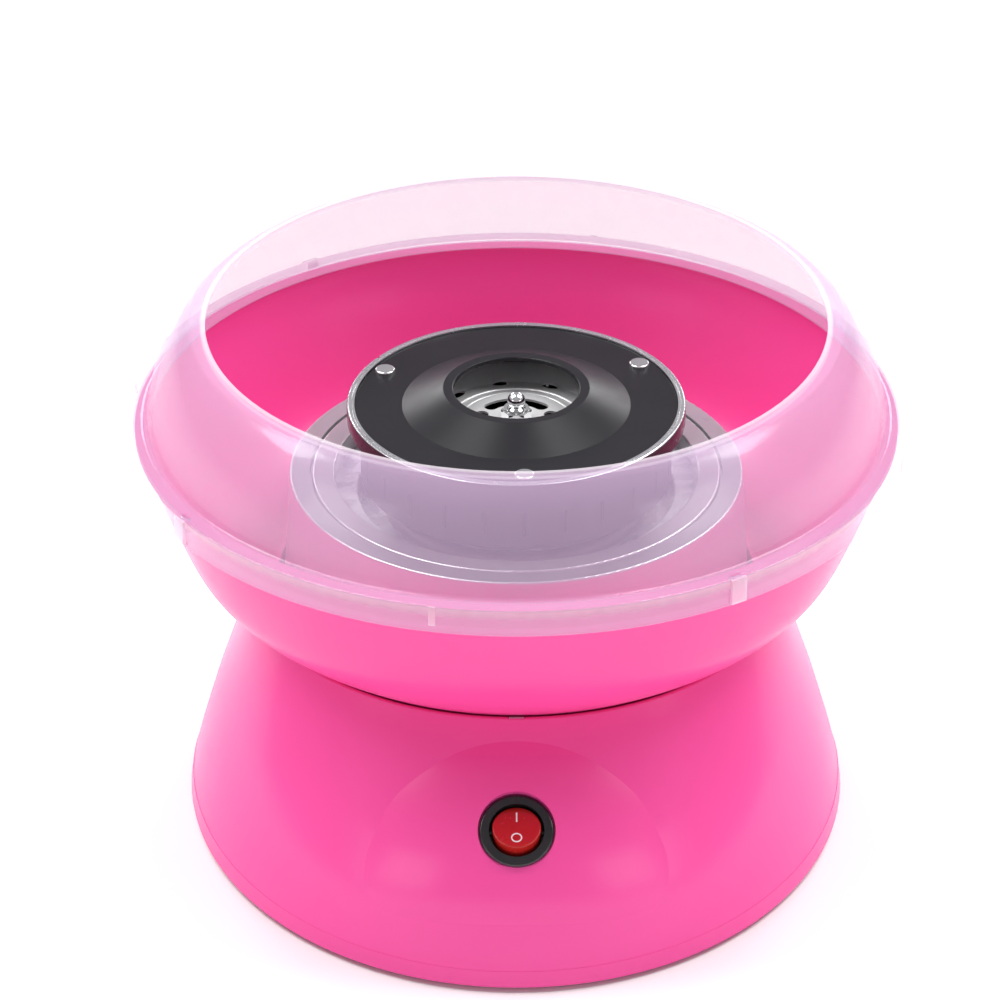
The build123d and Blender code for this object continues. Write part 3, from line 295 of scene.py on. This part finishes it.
PINK = pink_plastic("pink_plastic", (0.865, 0.078, 0.338), (0.880, 0.084, 0.350), (0.21, 0.26))
BOWL = pink_plastic("pink_bowl", (0.920, 0.074, 0.335), (0.940, 0.080, 0.350), (0.20, 0.26))
GUARD = guard_plastic()
SATIN = metal("satin_aluminium", (0.76, 0.75, 0.77), (0.83, 0.82, 0.84), (0.26, 0.36), 45.0,
              lathe=Relief(2600.0, 0.20, 0.00005), metallic=0.9)
BRIGHT = metal("bright_aluminium", (0.84, 0.84, 0.86), (0.90, 0.90, 0.91), (0.16, 0.24), 60.0,
               lathe=Relief(3200.0, 0.12, 0.00004))
CUP = metal("spun_aluminium", (0.86, 0.85, 0.86), (0.93, 0.92, 0.93), (0.34, 0.44), 60.0,
            lathe=Relief(2200.0, 0.15, 0.00004), metallic=0.55)
STEEL = metal("zinc_steel", (0.50, 0.50, 0.52), (0.62, 0.62, 0.63), (0.24, 0.40), 120.0,
              grain=Relief(1400.0, 0.2, 0.00004))
CHROME = metal("chrome", (0.84, 0.84, 0.85), (0.88, 0.88, 0.89), (0.05, 0.12), 150.0,
               grain=Relief(1200.0, 0.05, 0.00003))
BRASS = metal("brass", (0.70, 0.50, 0.20), (0.82, 0.62, 0.28), (0.25, 0.40), 150.0,
              grain=Relief(1500.0, 0.2, 0.00004))
COPPER = metal("enamelled_copper", (0.55, 0.20, 0.08), (0.70, 0.30, 0.12), (0.25, 0.35), 300.0,
               grain=Relief(2500.0, 0.6, 0.0002), coat=0.5)
HEATER = metal("heater_sheath", (0.28, 0.26, 0.25), (0.42, 0.38, 0.36), (0.35, 0.55), 90.0,
               grain=Relief(1200.0, 0.4, 0.00008))
GALV = galvanised()
LID = black_lid()
RIM = rolled_rim()
# painted shade: the head pan is darkened to stand in for the shadow under the head's rim
PAN_SHADE = plain("painted_shade_metal", (0.022, 0.021, 0.023), (0.050, 0.047, 0.050), (0.50, 0.65),
             Specular_IOR_Level=0.2)
BLACK = plain("black_gloss", (0.010, 0.010, 0.012), (0.020, 0.020, 0.022), (0.16, 0.28), IOR=1.5)
DARK = plain("black_matt", (0.030, 0.030, 0.033), (0.050, 0.050, 0.053), (0.45, 0.60))
RED = red_rocker()
WHITE = plain("white_print", (0.82, 0.82, 0.82), (0.90, 0.90, 0.90), (0.35, 0.5))
CERAMIC = plain("ceramic", (0.70, 0.66, 0.58), (0.80, 0.77, 0.70), (0.45, 0.65))
CARBON = plain("carbon", (0.02, 0.02, 0.02), (0.05, 0.05, 0.05), (0.5, 0.7), Metallic=0.2)
FERRITE = plain("ferrite", (0.07, 0.07, 0.075), (0.12, 0.12, 0.125), (0.5, 0.7))
RUBBER = plain("rubber", (0.035, 0.035, 0.035), (0.055, 0.055, 0.055), (0.6, 0.8),
               grain=Relief(1500.0, 0.4, 0.0001))
BOARD = plain("board", (0.30, 0.17, 0.06), (0.38, 0.22, 0.09), (0.4, 0.5))

paint(PINK, "base_shell", "bottom_cover", "board_pillars")
paint(BOWL, "bowl")
paint(GUARD, "guard")
paint(SATIN, "dish_shell", "dish_ring")
paint(RIM, "head_rim")
paint(BRIGHT, "lid_rivets", "head_hub")
paint(CUP, "sugar_cup", "hub_plate", "bowl_catch")
paint(STEEL, "cover_screws", "dish_screws", "sensor_strip", "upper_spacers", "lower_spacers",
      "spacer_bolts", "spacer_nuts", "motor_screws", "motor_can", "motor_shaft", "rotor_core",
      "drive_pin")
paint(CHROME, "drive_spindle", "hub_nut")
paint(BRASS, "switch_blades", "motor_bushes", "motor_tags")
paint(COPPER, "rotor_windings", "commutator")
paint(HEATER, "heater_element")
paint(GALV, "dish_tray", "heat_shield", "motor_plate")
paint(LID, "head_lid")
# the head pan carries painted shade
paint(PAN_SHADE, "head_pan")
paint(BLACK, "switch_housing", "cord_gland")
paint(DARK, "thermostat", "motor_end_cap", "rectifier_diodes", "smoothing_capacitor")
paint(RED, "switch_rocker")
paint(WHITE, "switch_marks")
paint(CERAMIC, "heater_bushes", "heater_saddles")
paint(CARBON, "motor_brushes")
paint(FERRITE, "motor_magnets")
paint(RUBBER, "rubber_feet", "motor_grommets")
paint(BOARD, "rectifier_board")

# ---------------------------------------------------------------- floor
FLOOR_HALF = 3.0

floor_mesh = bpy.data.meshes.new("floor")
floor_mesh.from_pydata([(-FLOOR_HALF, -FLOOR_HALF, 0), (FLOOR_HALF, -FLOOR_HALF, 0),
                        (FLOOR_HALF, FLOOR_HALF, 0), (-FLOOR_HALF, FLOOR_HALF, 0)],
                       [], [(0, 1, 2, 3)])
floor = bpy.data.objects.new("floor", floor_mesh)
scene.collection.objects.link(floor)
floor_look = plain("floor_paper", (0.93, 0.93, 0.93), (0.95, 0.95, 0.95), (0.6, 0.7), scale=3.0,
                   grain=Relief(300.0, 0.05, 0.0001))
floor.data.materials.append(floor_look.mat)

# ---------------------------------------------------------------- light
ROOM_COLOUR = (0.95, 0.94, 0.97, 1.0)
ROOM_STRENGTH = 0.41
MACHINE_MIDDLE = Vector((0.0, 0.0, 0.11))

# each kind of softbox: size in metres, power in watts
FRONT_BOX = ((0.7, 0.6), 2.6)
TOP_BOX = ((0.65, 1.0), 15.0)
BACK_BOX = ((0.45, 0.45), 4.5)

world = bpy.data.worlds.new("studio")
scene.world = world
world.use_nodes = True
background = world.node_tree.nodes["Background"]
background.inputs["Color"].default_value = ROOM_COLOUR
background.inputs["Strength"].default_value = ROOM_STRENGTH


def softbox(name, place, size, power):
    """A rectangular lamp turned to the machine and hidden from the camera."""
    data = bpy.data.lights.new(name, "AREA")
    data.shape = "RECTANGLE"
    data.size, data.size_y = size
    data.energy = power
    obj = bpy.data.objects.new(name, data)
    obj.location = place
    obj.rotation_euler = (MACHINE_MIDDLE - Vector(place)).to_track_quat("-Z", "Y").to_euler()
    obj.visible_camera = False
    scene.collection.objects.link(obj)


# two boxes overhead, not one, so that the lid's cone stays dark at its front
softbox("left_softbox", (-1.15, -0.95, 0.42), *FRONT_BOX)
softbox("right_softbox", (1.15, -0.90, 0.42), *FRONT_BOX)
softbox("top_left_softbox", (-0.72, 0.10, 1.2), *TOP_BOX)
softbox("top_right_softbox", (0.72, 0.10, 1.2), *TOP_BOX)
softbox("back_left_softbox", (-0.57, 1.30, 0.62), *BACK_BOX)
softbox("back_right_softbox", (0.57, 1.30, 0.62), *BACK_BOX)

scene.view_settings.view_transform = "Standard"

# ---------------------------------------------------------------- camera
# fitted to the circles of the machine in the photo
ELEVATION = math.radians(29.59)
DISTANCE = 2.4
TARGET = Vector((-0.0052, 0.0, 0.1056))
SENSOR_WIDTH = 36.0
LENS_RATIO = 7.465              # focal length over sensor width

camera_data = bpy.data.cameras.new("camera")
camera_data.sensor_width = SENSOR_WIDTH
camera_data.lens = SENSOR_WIDTH * LENS_RATIO
camera = bpy.data.objects.new("camera", camera_data)
forward = Vector((0.0, math.cos(ELEVATION), -math.sin(ELEVATION)))
camera.location = TARGET - forward * DISTANCE
camera.rotation_euler = forward.to_track_quat("-Z", "Y").to_euler()
scene.collection.objects.link(camera)
scene.camera = camera
